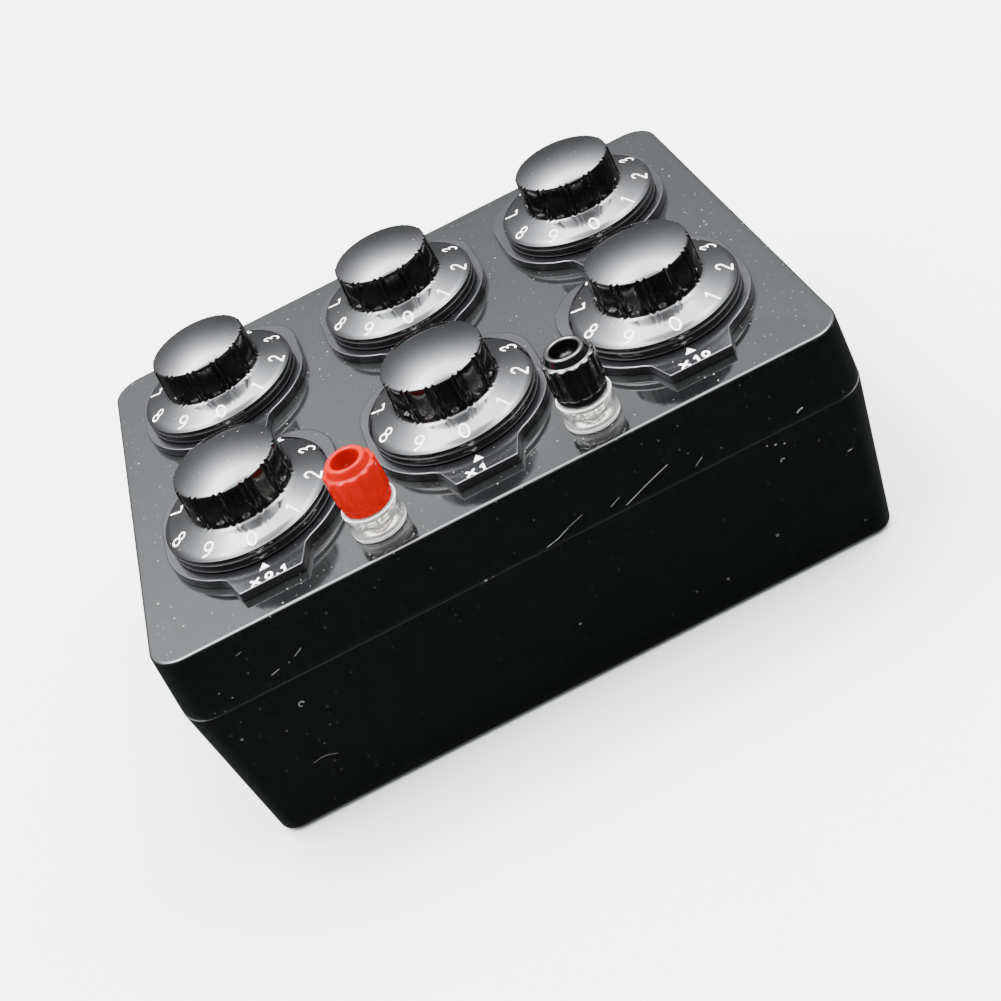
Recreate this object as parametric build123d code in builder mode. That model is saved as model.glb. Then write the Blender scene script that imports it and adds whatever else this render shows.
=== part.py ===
from build123d import *
import math
import os

# Case
lid_length = 200.0
lid_width = 152.0
lid_height = 21.0
lid_flare = 1.2  # each side of the lid stands out by this much more at the seam
lid_corner_radius = 9.0
lid_bevel = 1.2
base_height = 52.2
base_draw_in = 4.4  # each side of the base comes in by this much at the floor
wall = 3.0
lid_top_thickness = 3.0
floor_thickness = 3.0
cavity_cut = 4.0  # the corners of the cavity are cut off by this much
tongue_width = 1.4
tongue_height = 2.0
tongue_clearance = 0.15

# Pillars in the corners, bored from below for the screws that hold the lid
screw_inset = 14.0  # from each edge of the lid
pillar_width = 9.0
screw_hole_radius = 1.6
screw_well_radius = 3.2
screw_grip = 8.0  # pillar left between the well and the seam
screw_bite = 10.0  # depth of the screw hole in the lid

# Rubber feet
foot_width = 12.0
foot_height = 2.2
foot_recess = 1.0
foot_draft = 10.0
foot_clearance = 0.1
foot_inset_x = 30.0
foot_inset_y = 16.0

# Dials: two rows of three, spread over the lid
dial_pitch = 0.315 * lid_length
row_pitch = 0.45 * lid_width
rows_middle_y = 1.5
positions = 10
plate_side_gap = 8.6  # between plates side by side
plate_thickness = 2.8
plate_corner_radius = 18.5
plate_steps = 6  # flats along each curved stretch of the outline
tab_root_half_width = 12.0
tab_end_half_width = 9.3
tab_end_gap = 0.8  # from the tab's end to the middle between the rows
plate_back_gap = 3.7  # from the plate's back edge to the middle between the rows

# Knob: a wide dial skirt with a cone-shaped face, and a fluted grip with a domed top
knob_gap = 0.5
skirt_inset = 2.3  # the plate stands out by this much round the skirt
skirt_rim_height = 4.3
skirt_cone_height = 3.4
grip_base_radius = 15.4
grip_top_radius = 14.6
grip_height = 11.0
dome_height = 3.0
flute_count = 12
flute_half_width = 1.5
flute_depth = 0.9
flute_ridge_depth = 0.2
knob_pocket_radius = 8.0
knob_pocket_height = 3.5
knob_bore_depth = 9.0
shaft_end_gap = 0.5

# Rotary switch under each dial
bushing_radius = 4.7
bushing_clearance = 0.15
bushing_end = 3.0  # bushing above the index plate
shaft_radius = 3.0
shaft_flat = 1.5  # distance from the shaft's axis to its flat
shaft_fit = 0.05
frame_inset = 1.0  # the frame's legs stand this far inside the deck's edge
frame_depth = 16.0
frame_leg_depth = 6.0
frame_sheet = 1.2
frame_height = 16.0  # from the lid's underside to the switch deck
rotor_radius = 8.0
rotor_height = 6.0
rotor_gap = 0.3
tang_width = 5.0
tang_thickness = 2.0
wiper_width = 3.0
wiper_sheet = 0.6
wiper_reach = 13.0
wiper_gap = 0.1
deck_radius = 17.0
deck_thickness = 1.6
blade_width = 2.0
blade_sheet = 0.6
blade_start = 9.5
blade_end = 21.0
common_start = -2.0  # starts past the dial's axis, under the end of the shaft
spring_sheet = 0.5
spring_width = 6.0
spring_foot = 5.0
spring_gap = 0.1
spring_end_gap = 0.3  # above the wiper
resistor_length = 8.9
resistor_width = 3.0
resistor_gap = 0.3

# Link wires: square section, each hangs below the blades that it joins
wire_width = 0.8
link_drop = 3.5
feed_drop = 6.5
return_drop = 9.0
wire_inset = 0.8

# Binding posts
post_inset = 14.0  # from the front edge of the lid
collar_radius = 7.8
collar_height = 8.0
stud_radius = 3.0
stud_fit = 0.05
stud_top = 18.0
stud_tail = 9.0
stud_hole_clearance = 0.15
socket_radius = 2.05
socket_depth = 15.0
cap_gap = 0.2
cap_ring_radius = 7.1
cap_ring_height = 2.2
cap_radius = 7.5
cap_flutes = 12
cap_flute_depth = 0.7
cap_flute_height = 11.2
cap_collar_radius = 4.7
cap_collar_height = 1.6
insert_radius = 4.4
insert_height = 8.0
insert_fit = 0.05
lug_sheet = 0.8
lug_width = 9.0
lug_reach = 9.0

# Number of flats where a round form is drawn as a polygon
dial_sides = 36
dome_sides = 24
dome_steps = 3
post_sides = 24
small_sides = 12

# Levels and places worked out from the sizes above
base_bottom = foot_height - foot_recess
seam_level = base_bottom + base_height
lid_top = seam_level + lid_height
lid_underside = lid_top - lid_top_thickness
seam_length = lid_length + 2 * lid_flare
seam_width = lid_width + 2 * lid_flare
seam_radius = lid_corner_radius + lid_flare
cavity_length = lid_length - 2 * wall
cavity_width = lid_width - 2 * wall
screw_spacing_x = lid_length - 2 * screw_inset
screw_spacing_y = lid_width - 2 * screw_inset
foot_spacing_x = lid_length - 2 * foot_inset_x
foot_spacing_y = lid_width - 2 * foot_inset_y
front_row_y = rows_middle_y - row_pitch / 2
back_row_y = rows_middle_y + row_pitch / 2
plate_radius = (dial_pitch - plate_side_gap) / 2
plate_corner_y = row_pitch / 2 - plate_back_gap - plate_corner_radius
tab_reach = row_pitch / 2 - tab_end_gap
skirt_radius = plate_radius - skirt_inset
lid_taper = math.degrees(math.atan(lid_flare / lid_height))
base_taper = math.degrees(math.atan(base_draw_in / base_height))
plate_top = lid_top + plate_thickness
knob_bottom = plate_top + knob_gap
skirt_rim = knob_bottom + skirt_rim_height
grip_bottom = skirt_rim + skirt_cone_height
grip_top = grip_bottom + grip_height
dome_radius = (grip_top_radius**2 + dome_height**2) / (2 * dome_height)
deck_top = lid_underside - frame_height
blade_top = deck_top + blade_sheet
rotor_top = lid_underside - frame_sheet - rotor_gap
rotor_bottom = rotor_top - rotor_height
rotor_corner = rotor_radius / math.cos(math.pi / positions)
step_angle = 360 / positions
frame_width = 2 * (deck_radius - frame_inset)
contact_level = blade_top + wiper_gap
spring_drop = rotor_gap + rotor_height - spring_end_gap

dial_places = {
    "ten_thousands": (-dial_pitch, back_row_y),
    "thousands": (0, back_row_y),
    "hundreds": (dial_pitch, back_row_y),
    "tenths": (-dial_pitch, front_row_y),
    "units": (0, front_row_y),
    "tens": (dial_pitch, front_row_y),
}
post_y = post_inset - lid_width / 2
post_places = {"red": (-dial_pitch / 2, post_y), "black": (dial_pitch / 2, post_y)}


def level(place, height):
    """Horizontal plane above a place on the lid."""
    return Plane(origin=(place[0], place[1], height))


def downward(height, place=(0, 0)):
    """Horizontal plane that faces the floor."""
    return Plane(origin=(place[0], place[1], height), x_dir=(1, 0, 0), z_dir=(0, 0, -1))


def upright(place, facing=0):
    """Vertical plane through a place: its X runs outwards at the given angle, its Y runs up."""
    turn = math.radians(facing)
    return Plane(
        origin=(place[0], place[1], 0),
        x_dir=(math.cos(turn), math.sin(turn), 0),
        z_dir=(math.sin(turn), -math.cos(turn), 0),
    )


def around(place, radius, angle):
    """Point at a distance and an angle from a place."""
    turn = math.radians(angle)
    return (place[0] + radius * math.cos(turn), place[1] + radius * math.sin(turn))


def draft(inset, height):
    return math.degrees(math.atan(inset / height))


def cavity_outline(grow=0.0, mode=Mode.ADD):
    """Inside of the case with its corners cut off, larger all round by the given amount."""
    cut = cavity_cut + (2 - math.sqrt(2)) * grow
    half_length = cavity_length / 2 + grow
    half_width = cavity_width / 2 + grow
    corners = []
    for side_x, side_y in ((1, 1), (-1, 1), (-1, -1), (1, -1)):
        ends = [
            (side_x * half_length, side_y * (half_width - cut)),
            (side_x * (half_length - cut), side_y * half_width),
        ]
        corners += ends if side_x == side_y else ends[::-1]
    return Polygon(*corners, align=None, mode=mode)


def keep(name, piece):
    piece.label = name
    export_step(piece, "parts/" + name + ".step")
    print(name, len(piece.solids()), round(piece.volume, 1))


os.makedirs("parts", exist_ok=True)

# Lid: tapered box, open below, with a rebate at the seam and a pillar in each corner
with BuildPart() as lid:
    with BuildSketch(Plane.XY.offset(seam_level)):
        RectangleRounded(seam_length, seam_width, seam_radius)
    extrude(amount=lid_height, taper=lid_taper)
    chamfer(lid.faces().sort_by(Axis.Z)[-1].edges(), lid_bevel)
    with BuildSketch(Plane.XY.offset(seam_level)):
        cavity_outline()
    extrude(amount=lid_height - lid_top_thickness, mode=Mode.SUBTRACT)
    with BuildSketch(Plane.XY.offset(seam_level)):
        cavity_outline(tongue_width)
    extrude(amount=tongue_height + tongue_clearance, mode=Mode.SUBTRACT)
    with BuildSketch(Plane.XY.offset(seam_level)):
        with GridLocations(screw_spacing_x, screw_spacing_y, 2, 2):
            Rectangle(pillar_width, pillar_width)
    extrude(amount=lid_height - lid_top_thickness)
    with BuildSketch(Plane.XY.offset(seam_level)):
        with GridLocations(screw_spacing_x, screw_spacing_y, 2, 2):
            RegularPolygon(screw_hole_radius, small_sides)
    extrude(amount=screw_bite, mode=Mode.SUBTRACT)
    with BuildSketch(Plane.XY.offset(lid_underside)):
        with Locations(*dial_places.values()):
            RegularPolygon(bushing_radius + bushing_clearance, small_sides, major_radius=False)
        with Locations(*post_places.values()):
            RegularPolygon(stud_radius + stud_hole_clearance, small_sides, major_radius=False)
    extrude(amount=lid_top_thickness, mode=Mode.SUBTRACT)
keep("lid", lid.part)

# Base: tapered tray with a tongue round its rim and a bored pillar in each corner
with BuildPart() as base:
    with BuildSketch(downward(seam_level)):
        RectangleRounded(seam_length, seam_width, seam_radius)
    extrude(amount=base_height, taper=base_taper)
    with BuildSketch(downward(seam_level)):
        cavity_outline()
    extrude(amount=base_height - floor_thickness, taper=base_taper, mode=Mode.SUBTRACT)
    with BuildSketch(Plane.XY.offset(seam_level)):
        cavity_outline(tongue_width - tongue_clearance)
        cavity_outline(mode=Mode.SUBTRACT)
    extrude(amount=tongue_height)
    with BuildSketch(downward(seam_level)):
        with GridLocations(screw_spacing_x, screw_spacing_y, 2, 2):
            Rectangle(pillar_width, pillar_width)
    extrude(amount=base_height - floor_thickness)
    with BuildSketch(downward(seam_level)):
        with GridLocations(screw_spacing_x, screw_spacing_y, 2, 2):
            RegularPolygon(screw_hole_radius, small_sides)
    extrude(amount=screw_grip, mode=Mode.SUBTRACT)
    with BuildSketch(downward(seam_level - screw_grip)):
        with GridLocations(screw_spacing_x, screw_spacing_y, 2, 2):
            RegularPolygon(screw_well_radius, small_sides)
    extrude(amount=base_height - screw_grip, mode=Mode.SUBTRACT)
    with BuildSketch(Plane.XY.offset(base_bottom)):
        with GridLocations(foot_spacing_x, foot_spacing_y, 2, 2):
            Rectangle(foot_width + 2 * foot_clearance, foot_width + 2 * foot_clearance)
    extrude(amount=foot_recess, mode=Mode.SUBTRACT)
keep("base", base.part)

# Rubber feet, square pads that narrow towards the floor
with BuildPart() as feet:
    with BuildSketch(downward(foot_height)):
        with GridLocations(foot_spacing_x, foot_spacing_y, 2, 2):
            Rectangle(foot_width, foot_width)
    extrude(amount=foot_height, taper=foot_draft)
keep("feet", feet.part)



def plate_outline():
    """Corners of an index plate: a tab and a round front, straight sides, large corners behind."""
    root_angle = math.degrees(math.acos(tab_root_half_width / plate_radius))
    corner_centre = (plate_radius - plate_corner_radius, plate_corner_y)
    side = [(tab_end_half_width, -tab_reach)]
    for step in range(plate_steps + 1):
        side.append(around((0, 0), plate_radius, root_angle * (step / plate_steps - 1)))
    for step in range(plate_steps + 1):
        side.append(around(corner_centre, plate_corner_radius, 90 * step / plate_steps))
    return side + [(-x, y) for x, y in reversed(side)]


# Index plates on the lid, one under each dial
with BuildPart() as index_plates:
    for place in dial_places.values():
        with BuildSketch(level(place, lid_top)):
            with BuildLine():
                Polyline(*plate_outline(), close=True)
            make_face()
            RegularPolygon(
                bushing_radius + bushing_clearance,
                small_sides,
                major_radius=False,
                mode=Mode.SUBTRACT,
            )
        extrude(amount=plate_thickness)
keep("index_plates", index_plates.part)


def dome_drop(radius):
    """How far the dome has fallen below its crown at a distance from the axis."""
    return dome_radius - math.sqrt(dome_radius**2 - radius**2)


def make_knob(name, place):
    """Twelve-sided grip with a double groove down each corner, domed above, on the wide skirt."""
    grip_draft = draft(grip_base_radius - grip_top_radius, grip_height)
    corner_radius = grip_base_radius / math.cos(math.pi / flute_count)
    with BuildPart() as crown:
        with BuildSketch(level(place, grip_bottom)):
            RegularPolygon(corner_radius, dome_sides, major_radius=False)
        extrude(amount=grip_height)
        for step in range(dome_steps):
            outer = grip_top_radius * (1 - step / dome_steps)
            inner = grip_top_radius * (1 - (step + 1) / dome_steps)
            rise = dome_drop(outer) - dome_drop(inner)
            foot = grip_top + dome_height - dome_drop(outer)
            if step < dome_steps - 1:
                with BuildSketch(level(place, foot)):
                    RegularPolygon(
                        outer, dome_sides, major_radius=False, rotation=180 / dome_sides
                    )
                extrude(amount=rise, taper=draft(outer - inner, rise))
    with BuildPart() as knob:
        with BuildSketch(level(place, grip_bottom)):
            RegularPolygon(corner_radius, flute_count, rotation=180 / flute_count)
        extrude(amount=grip_height + dome_height, taper=grip_draft)
        add(crown.part, mode=Mode.INTERSECT)
        groove_lean = math.radians(grip_draft)
        for flute in range(flute_count):
            turn = math.radians(360 / flute_count * (flute + 0.5))
            corner = around(place, corner_radius, math.degrees(turn))
            groove_plane = Plane(
                origin=(corner[0], corner[1], grip_bottom),
                x_dir=(-math.sin(turn), math.cos(turn), 0),
                z_dir=(
                    -math.sin(groove_lean) * math.cos(turn),
                    -math.sin(groove_lean) * math.sin(turn),
                    math.cos(groove_lean),
                ),
            )
            with BuildSketch(groove_plane):
                with BuildLine():
                    Polyline(
                        (-flute_half_width, -flute_depth),
                        (-flute_half_width, flute_ridge_depth),
                        (-flute_half_width / 2, flute_depth + flute_ridge_depth),
                        (0, flute_ridge_depth + flute_ridge_depth),
                        (flute_half_width / 2, flute_depth + flute_ridge_depth),
                        (flute_half_width, flute_ridge_depth),
                        (flute_half_width, -flute_depth),
                        close=True,
                    )
                make_face()
            extrude(amount=grip_height + 2 * dome_height, mode=Mode.SUBTRACT)
        with BuildSketch(level(place, knob_bottom)):
            RegularPolygon(skirt_radius, dial_sides)
        extrude(amount=skirt_rim_height)
        with BuildSketch(level(place, skirt_rim)):
            RegularPolygon(skirt_radius, dial_sides)
        extrude(
            amount=skirt_cone_height,
            taper=draft(skirt_radius - grip_base_radius + flute_depth, skirt_cone_height),
        )
        with BuildSketch(level(place, knob_bottom)):
            RegularPolygon(knob_pocket_radius, small_sides)
        extrude(amount=knob_pocket_height, mode=Mode.SUBTRACT)
        with BuildSketch(level(place, knob_bottom + knob_pocket_height)):
            RegularPolygon(shaft_radius + shaft_fit, small_sides, major_radius=False)
            with Locations((shaft_flat + shaft_fit + shaft_radius, 0)):
                Rectangle(2 * shaft_radius, 3 * shaft_radius, mode=Mode.SUBTRACT)
        extrude(amount=knob_bore_depth, mode=Mode.SUBTRACT)
    keep(name, knob.part)


def make_shaft(name, place):
    """Round rod with one flat. The flat tang below drives the rotor and ends on the common contact."""
    shaft_top = knob_bottom + knob_pocket_height + knob_bore_depth - shaft_end_gap
    with BuildPart() as shaft:
        with BuildSketch(level(place, rotor_top)):
            Circle(shaft_radius)
            with Locations((shaft_flat + shaft_radius, 0)):
                Rectangle(2 * shaft_radius, 3 * shaft_radius, mode=Mode.SUBTRACT)
        extrude(amount=shaft_top - rotor_top)
        with BuildSketch(downward(rotor_top, place)):
            Rectangle(tang_thickness, tang_width)
        extrude(amount=rotor_top - contact_level)
    keep(name, shaft.part)


def make_rotor(name, place):
    """Ten-sided detent wheel with a slot for the shaft's tang."""
    with BuildPart() as rotor:
        with BuildSketch(downward(rotor_top, place)):
            RegularPolygon(rotor_radius, positions, major_radius=False)
            Rectangle(
                tang_thickness + 2 * shaft_fit, tang_width + 2 * shaft_fit, mode=Mode.SUBTRACT
            )
        extrude(amount=rotor_height)
    keep(name, rotor.part)


def make_wiper(name, place):
    """Bent strip under the rotor, from the shaft's tang to the blade of the chosen position."""
    wiper_start = tang_width / 2 + shaft_fit
    with BuildPart() as wiper:
        with BuildSketch(upright(place, -90)):
            with BuildLine():
                Polyline(
                    (wiper_start, rotor_bottom),
                    (wiper_reach, rotor_bottom),
                    (wiper_reach, contact_level),
                    (wiper_reach - wiper_sheet, contact_level),
                    (wiper_reach - wiper_sheet, rotor_bottom - wiper_sheet),
                    (wiper_start, rotor_bottom - wiper_sheet),
                    close=True,
                )
            make_face()
        extrude(amount=wiper_width / 2, both=True)
    keep(name, wiper.part)


for decade, place in dial_places.items():
    make_knob("knob_" + decade, place)
    make_shaft("shaft_" + decade, place)
    make_rotor("rotor_" + decade, place)
    make_wiper("wiper_" + decade, place)

# Switch frames: bent sheet under the lid with the bushing that passes through lid and plate
with BuildPart() as switch_frames:
    for place in dial_places.values():
        with BuildSketch(downward(lid_underside, place)):
            Rectangle(frame_width, frame_depth)
        extrude(amount=frame_sheet)
        leg_x = (frame_width - frame_sheet) / 2
        with BuildSketch(
            downward(lid_underside, (place[0] - leg_x, place[1])),
            downward(lid_underside, (place[0] + leg_x, place[1])),
        ):
            Rectangle(frame_sheet, frame_leg_depth)
        extrude(amount=frame_height)
        with BuildSketch(level(place, lid_underside)):
            RegularPolygon(bushing_radius, small_sides, major_radius=False)
        extrude(amount=plate_top + bushing_end - lid_underside)
        with BuildSketch(level(place, lid_underside - frame_sheet)):
            RegularPolygon(shaft_radius + shaft_fit, small_sides, major_radius=False)
        extrude(amount=plate_top + bushing_end - lid_underside + frame_sheet, mode=Mode.SUBTRACT)
keep("switch_frames", switch_frames.part)

# Detent springs: bent strips under the frames, each beside its ten-sided wheel
with BuildPart() as detent_springs:
    spring_x = rotor_corner + spring_gap
    spring_root = lid_underside - frame_sheet
    for place in dial_places.values():
        with BuildSketch(upright(place)):
            with BuildLine():
                Polyline(
                    (spring_x, spring_root - spring_drop),
                    (spring_x, spring_root),
                    (spring_x + spring_foot, spring_root),
                    (spring_x + spring_foot, spring_root - spring_sheet),
                    (spring_x + spring_sheet, spring_root - spring_sheet),
                    (spring_x + spring_sheet, spring_root - spring_drop),
                    close=True,
                )
            make_face()
        extrude(amount=spring_width / 2, both=True)
keep("detent_springs", detent_springs.part)

# Switch decks: ten-sided plates on the ends of the frames' legs
with BuildPart() as switch_decks:
    for place in dial_places.values():
        with BuildSketch(downward(deck_top, place)):
            RegularPolygon(deck_radius / math.cos(math.pi / positions), positions, rotation=step_angle / 2)
        extrude(amount=deck_thickness)
keep("switch_decks", switch_decks.part)

# Contact blades: one for each position of each dial, on top of the deck
with BuildPart() as contact_blades:
    for place in dial_places.values():
        with BuildSketch(level(place, deck_top)):
            with PolarLocations(
                (blade_start + blade_end) / 2, positions, start_angle=-90
            ):
                Rectangle(blade_end - blade_start, blade_width)
        extrude(amount=blade_sheet)
keep("contact_blades", contact_blades.part)

# Common contacts: one for each dial, in the gap between the first and the last blade
common_angle = -90 - step_angle / 2
with BuildPart() as common_contacts:
    for place in dial_places.values():
        with BuildSketch(level(place, deck_top)):
            with PolarLocations((common_start + blade_end) / 2, 1, start_angle=common_angle):
                Rectangle(blade_end - common_start, blade_width)
        extrude(amount=blade_sheet)
keep("common_contacts", common_contacts.part)

# Resistors: nine for each dial, each between the ends of two neighbouring blades
with BuildPart() as resistors:
    for place in dial_places.values():
        with BuildSketch(level(place, blade_top - resistor_width / 2)):
            with PolarLocations(
                deck_radius + resistor_gap + resistor_width / 2,
                positions - 1,
                start_angle=-90 + step_angle / 2,
                angular_range=360 - 2 * step_angle,
                endpoint=True,
            ):
                Rectangle(resistor_width, resistor_length)
        extrude(amount=resistor_width)
keep("resistors", resistors.part)


def first_blade(decade):
    return around(dial_places[decade], blade_end - wire_inset, -90)


def common_blade(decade):
    return around(dial_places[decade], blade_end - wire_inset, common_angle)


def lug_end(colour):
    x, y = post_places[colour]
    return (x, y + lug_reach - wire_inset)


# Link wires put the six dials in series between the posts. Each is bent down from its start,
# along below, and up to its end: start, end, level of the start, depth of the run below the decks
wire_runs = [
    (lug_end("red"), common_blade("tenths"), lid_underside - lug_sheet, feed_drop),
    (first_blade("tenths"), common_blade("units"), deck_top, link_drop),
    (first_blade("units"), common_blade("tens"), deck_top, link_drop),
    (first_blade("tens"), first_blade("hundreds"), deck_top, link_drop),
    (first_blade("thousands"), common_blade("hundreds"), deck_top, link_drop),
    (first_blade("ten_thousands"), common_blade("thousands"), deck_top, link_drop),
    (lug_end("black"), common_blade("ten_thousands"), lid_underside - lug_sheet, return_drop),
]
with BuildPart() as link_wires:
    for start, end, start_level, drop in wire_runs:
        half = wire_width / 2
        span = math.dist(start, end)
        run = deck_top - drop
        heading = math.degrees(math.atan2(end[1] - start[1], end[0] - start[0]))
        with BuildSketch(upright(start, heading)):
            with BuildLine():
                Polyline(
                    (-half, start_level),
                    (half, start_level),
                    (half, run + half),
                    (span - half, run + half),
                    (span - half, deck_top),
                    (span + half, deck_top),
                    (span + half, run - half),
                    (-half, run - half),
                    close=True,
                )
            make_face()
        extrude(amount=half, both=True)
keep("link_wires", link_wires.part)

# Clear collars under the caps
with BuildPart() as post_collars:
    for place in post_places.values():
        with BuildSketch(level(place, lid_top)):
            RegularPolygon(collar_radius, post_sides)
            RegularPolygon(
                stud_radius + stud_hole_clearance, small_sides, major_radius=False, mode=Mode.SUBTRACT
            )
        extrude(amount=collar_height)
keep("post_collars", post_collars.part)

# Studs: rods through lid and collar, with the plug's socket bored from the top
with BuildPart() as post_studs:
    for place in post_places.values():
        with BuildSketch(level(place, lid_underside - stud_tail)):
            Circle(stud_radius)
        extrude(amount=lid_top + stud_top - lid_underside + stud_tail)
        with BuildSketch(downward(lid_top + stud_top, place)):
            Circle(socket_radius)
        extrude(amount=socket_depth, mode=Mode.SUBTRACT)
keep("post_studs", post_studs.part)

# Solder lugs: tabs round the studs, against the lid's underside
with BuildPart() as solder_lugs:
    for place in post_places.values():
        with BuildSketch(downward(lid_underside, place)):
            with Locations((0, (lug_width / 2 - lug_reach) / 2)):
                Rectangle(lug_width, lug_reach + lug_width / 2)
            RegularPolygon(
                stud_radius + stud_hole_clearance, small_sides, major_radius=False, mode=Mode.SUBTRACT
            )
        extrude(amount=lug_sheet)
keep("solder_lugs", solder_lugs.part)


def cap_outline():
    """Corners of the fluted cap, one lobe and one groove for each flute."""
    corners = []
    for corner in range(2 * cap_flutes):
        radius = cap_radius - cap_flute_depth * (corner % 2)
        corners.append(around((0, 0), radius, 180 / cap_flutes * corner))
    return corners


def make_cap(colour, place):
    """Cap with a smooth ring, fluted sides, a raised ring round its hole and a pocket for the insert."""
    cap_bottom = lid_top + collar_height + cap_gap
    fluted_bottom = cap_bottom + cap_ring_height
    fluted_top = fluted_bottom + cap_flute_height
    with BuildPart() as cap:
        with BuildSketch(level(place, cap_bottom)):
            RegularPolygon(cap_ring_radius, post_sides)
        extrude(amount=cap_ring_height)
        with BuildSketch(level(place, fluted_bottom)):
            with BuildLine():
                Polyline(*cap_outline(), close=True)
            make_face()
        extrude(amount=cap_flute_height)
        with BuildSketch(level(place, fluted_top)):
            RegularPolygon(cap_collar_radius, post_sides)
        extrude(amount=cap_collar_height)
        with BuildSketch(level(place, cap_bottom)):
            RegularPolygon(insert_radius + insert_fit, post_sides, major_radius=False)
        extrude(amount=insert_height, mode=Mode.SUBTRACT)
        with BuildSketch(level(place, cap_bottom)):
            RegularPolygon(stud_radius + stud_hole_clearance, post_sides, major_radius=False)
        extrude(amount=fluted_top + cap_collar_height - cap_bottom, mode=Mode.SUBTRACT)
    keep("post_cap_" + colour, cap.part)
    with BuildPart() as insert:
        with BuildSketch(level(place, cap_bottom)):
            RegularPolygon(insert_radius, 6)
            RegularPolygon(
                stud_radius + stud_fit, post_sides, major_radius=False, mode=Mode.SUBTRACT
            )
        extrude(amount=insert_height)
    keep("post_insert_" + colour, insert.part)


for colour, place in post_places.items():
    make_cap(colour, place)
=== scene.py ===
# %% [markdown]
# # A resistance decade box
#
# A black moulded case carries two rows of numbered dials and two binding posts. This file
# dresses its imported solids, one piece at a time. Each cell first says what the piece is on the
# real box and then builds it. Sizes are in millimetres as far as the loft helper, which turns
# them into Blender's metres.

# %% Load the solids
import math

import bmesh
import bpy
from mathutils import Matrix, Vector


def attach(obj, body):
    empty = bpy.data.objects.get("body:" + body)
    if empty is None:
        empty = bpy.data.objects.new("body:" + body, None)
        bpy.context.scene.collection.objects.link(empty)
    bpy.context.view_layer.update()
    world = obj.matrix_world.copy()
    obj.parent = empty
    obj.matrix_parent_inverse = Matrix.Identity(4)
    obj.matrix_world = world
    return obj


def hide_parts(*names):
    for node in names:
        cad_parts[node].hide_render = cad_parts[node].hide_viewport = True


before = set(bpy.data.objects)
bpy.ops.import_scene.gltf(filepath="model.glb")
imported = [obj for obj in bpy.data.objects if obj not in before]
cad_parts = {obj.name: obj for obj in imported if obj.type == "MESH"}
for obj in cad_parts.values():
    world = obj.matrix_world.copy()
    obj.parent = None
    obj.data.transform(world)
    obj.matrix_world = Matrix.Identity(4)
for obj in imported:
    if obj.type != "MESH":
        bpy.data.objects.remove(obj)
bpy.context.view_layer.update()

MM = 0.001

# %% [markdown]
# The camera comes first, so that every later choice is judged from the place where the
# photograph was taken. Its turn was solved from the four corners of the lid. A tilted horizon
# like this one could be faked by rolling the object, but then the other views would lean too.
# So the roll stays in the camera, and the object stands upright.

# %% Camera
CAMERA_PLACE = Vector((1.417, -409.425, 322.199)) * MM
CAMERA_RIGHT = Vector((0.8927, -0.2486, -0.3759))
CAMERA_UP = Vector((0.4499, 0.4419, 0.7761))
CAMERA_BACK = Vector((-0.0269, -0.8619, 0.5063))
PICTURE_SIDE = 1001
FOCAL_PIXELS = 1609.42
CENTRE_PIXEL = (466.06, 319.63)

lens = bpy.data.cameras.new("camera")
lens.sensor_fit = "HORIZONTAL"
lens.sensor_width = 36
lens.lens = FOCAL_PIXELS / PICTURE_SIDE * lens.sensor_width
lens.shift_x = (PICTURE_SIDE / 2 - CENTRE_PIXEL[0]) / PICTURE_SIDE
lens.shift_y = (CENTRE_PIXEL[1] - PICTURE_SIDE / 2) / PICTURE_SIDE
lens.clip_start = 0.01
camera = bpy.data.objects.new("camera", lens)
turn = Matrix((CAMERA_RIGHT, CAMERA_UP, CAMERA_BACK)).transposed()
camera.matrix_world = Matrix.LocRotScale(CAMERA_PLACE, turn.to_quaternion(), None)
bpy.context.scene.collection.objects.link(camera)
bpy.context.scene.camera = camera
print("lens in millimetres:", round(lens.lens, 1))

# %% [markdown]
# A loft skins a stack of rings that all have the same number of points, the way a boat is
# planked over its ribs. Nearly every piece here is drawn by its rings, because a ring can be
# round, fluted or a rounded rectangle, and small extra rings give each edge its own radius.
# Blender's primitives would be quicker, but they have no worn or moulded edges.

# %% Helpers for shapes
def polar(radius, angle, height):
    return radius * math.cos(angle), radius * math.sin(angle), height


def quarter_round(count):
    """Insets and rises of a rounded edge, as shares of its radius."""
    angles = [math.pi / 2 * step / count for step in range(count + 1)]
    return [(1 - math.cos(angle), math.sin(angle)) for angle in angles]


def round_ring(radius, height, count=96, centre=(0, 0)):
    """Circle of points."""
    step = math.tau / count
    return [
        (centre[0] + radius * math.cos(i * step), centre[1] + radius * math.sin(i * step), height)
        for i in range(count)
    ]


def corner_ring(half_x, half_y, radius, height, steps=10, centre=(0, 0)):
    """Rectangle with round corners."""
    points = []
    for quarter, (side_x, side_y) in enumerate(((1, 1), (-1, 1), (-1, -1), (1, -1))):
        for step in range(steps + 1):
            angle = math.pi / 2 * (quarter + step / steps)
            points.append((
                centre[0] + side_x * (half_x - radius) + radius * math.cos(angle),
                centre[1] + side_y * (half_y - radius) + radius * math.sin(angle),
                height,
            ))
    return points


def loft(name, rings, cap_first=False, cap_last=False, closed=False):
    """Skin rings of equal length, given in millimetres, into one mesh in metres."""
    work = bmesh.new()
    rows = [[work.verts.new(Vector(point) * MM) for point in ring] for ring in rings]
    pairs = list(zip(rows, rows[1:]))
    if closed:
        pairs.append((rows[-1], rows[0]))
    for low, high in pairs:
        for i in range(len(low)):
            j = (i + 1) % len(low)
            work.faces.new((low[i], low[j], high[j], high[i]))
    if cap_first:
        work.faces.new(rows[0][::-1])
    if cap_last:
        work.faces.new(rows[-1])
    bmesh.ops.recalc_face_normals(work, faces=work.faces)
    mesh = bpy.data.meshes.new(name)
    work.to_mesh(mesh)
    work.free()
    return mesh


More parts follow.
